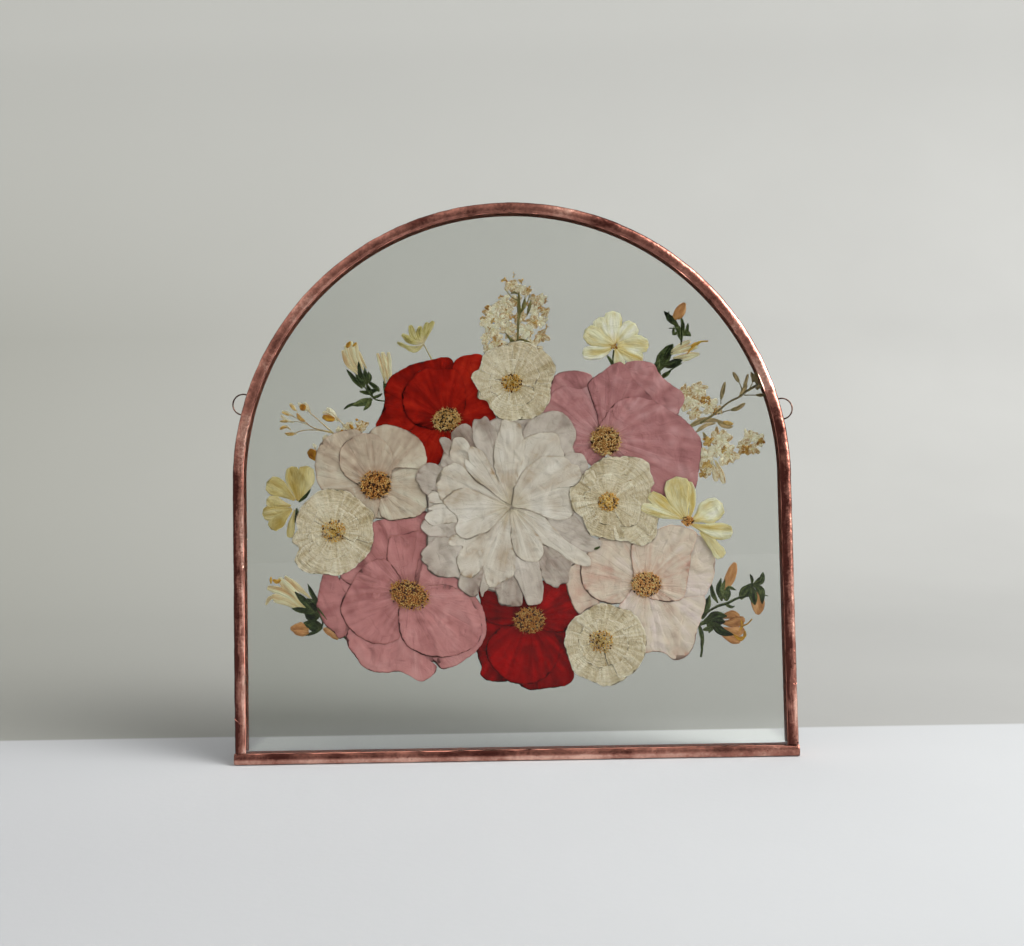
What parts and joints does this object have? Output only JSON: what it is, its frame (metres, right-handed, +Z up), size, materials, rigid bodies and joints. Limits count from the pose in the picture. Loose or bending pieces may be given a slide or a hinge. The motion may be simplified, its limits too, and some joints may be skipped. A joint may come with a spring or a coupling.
{
  "type": "pressed flower frame",
  "caption": "Arched frame of two glass panes bound in a copper bead, with pressed flowers laid between the panes and a wire ring at each side to hang it by.",
  "frame": {"origin": "middle of the flat underside of the bottom border, half way through the depth", "axes": "+Z up the frame towards the top of the arch, -Y out of the front pane, +X to the right seen from the front"},
  "size_m": [0.3083, 0.0096, 0.305],
  "materials": {
    "glass": "polished",
    "copper_patina": "satin",
    "red_petal": "matte",
    "pink_petal": "matte",
    "blush_petal": "matte",
    "peony_petal": "matte",
    "cream_petal": "matte",
    "yellow_petal": "matte",
    "dried_stamens": "matte",
    "dried_leaf": "matte",
    "dried_blossom": "matte"
  },
  "bodies": {
    "root": {"arch_border": "copper_patina", "back_pane": "glass", "blush_poppy_lower_far_left_petal": "blush_petal", "blush_poppy_lower_left_petal": "blush_petal", "blush_poppy_lower_lower_petal": "blush_petal", "blush_poppy_lower_right_petal": "blush_petal", "blush_poppy_lower_stamens": "dried_stamens", "blush_poppy_lower_upper_petal": "blush_petal", "blush_poppy_upper_inner_petal": "blush_petal", "blush_poppy_upper_left_petal": "blush_petal", "blush_poppy_upper_lower_right_petal": "blush_petal", "blush_poppy_upper_stamens": "dried_stamens", "blush_poppy_upper_upper_right_petal": "blush_petal", "bottom_border": "copper_patina", "bud_sprig_lower_left": "dried_leaf", "bud_sprig_lower_right": "dried_leaf", "bud_sprig_upper_left": "dried_leaf", "bud_sprig_upper_right": "dried_leaf", "cream_rosette_bottom": "cream_petal", "cream_rosette_left": "cream_petal", "cream_rosette_right": "cream_petal", "cream_rosette_top": "cream_petal", "front_pane": "glass", "hanging_ring_left": "copper_patina", "hanging_ring_right": "copper_patina", "pale_flower_top": "cream_petal", "pink_poppy_lower_bottom_petal": "pink_petal", "pink_poppy_lower_far_left_petal": "pink_petal", "pink_poppy_lower_left_petal": "pink_petal", "pink_poppy_lower_right_back_petal": "pink_petal", "pink_poppy_lower_right_petal": "pink_petal", "pink_poppy_lower_stamens": "dried_stamens", "pink_poppy_lower_top_petal": "pink_petal", "pink_poppy_lower_upright_petal": "pink_petal", "pink_poppy_upper_left_petal": "pink_petal", "pink_poppy_upper_right_petal": "pink_petal", "pink_poppy_upper_stamens": "dried_stamens", "pink_poppy_upper_top_petal": "pink_petal", "pink_poppy_upper_upper_left_petal": "pink_petal", "pink_poppy_upper_upper_right_petal": "pink_petal", "red_poppy_lower_front_petal": "red_petal", "red_poppy_lower_left_back_petal": "red_petal", "red_poppy_lower_left_upper_petal": "red_petal", "red_poppy_lower_right_back_petal": "red_petal", "red_poppy_lower_right_upper_petal": "red_petal", "red_poppy_lower_stamens": "dried_stamens", "red_poppy_upper_front_petal": "red_petal", "red_poppy_upper_left_petal": "red_petal", "red_poppy_upper_lower_petal": "red_petal", "red_poppy_upper_right_petal": "red_petal", "red_poppy_upper_stamens": "dried_stamens", "stock_spray_right": "dried_blossom", "white_larkspur_spike": "dried_blossom", "white_peony_inner_petals": "peony_petal", "white_peony_middle_petals": "peony_petal", "white_peony_outer_petals": "peony_petal", "white_spray_left": "dried_blossom", "yellow_bud_upper_left": "yellow_petal", "yellow_flower_left": "yellow_petal", "yellow_flower_right": "yellow_petal"}
  },
  "joints": []
}
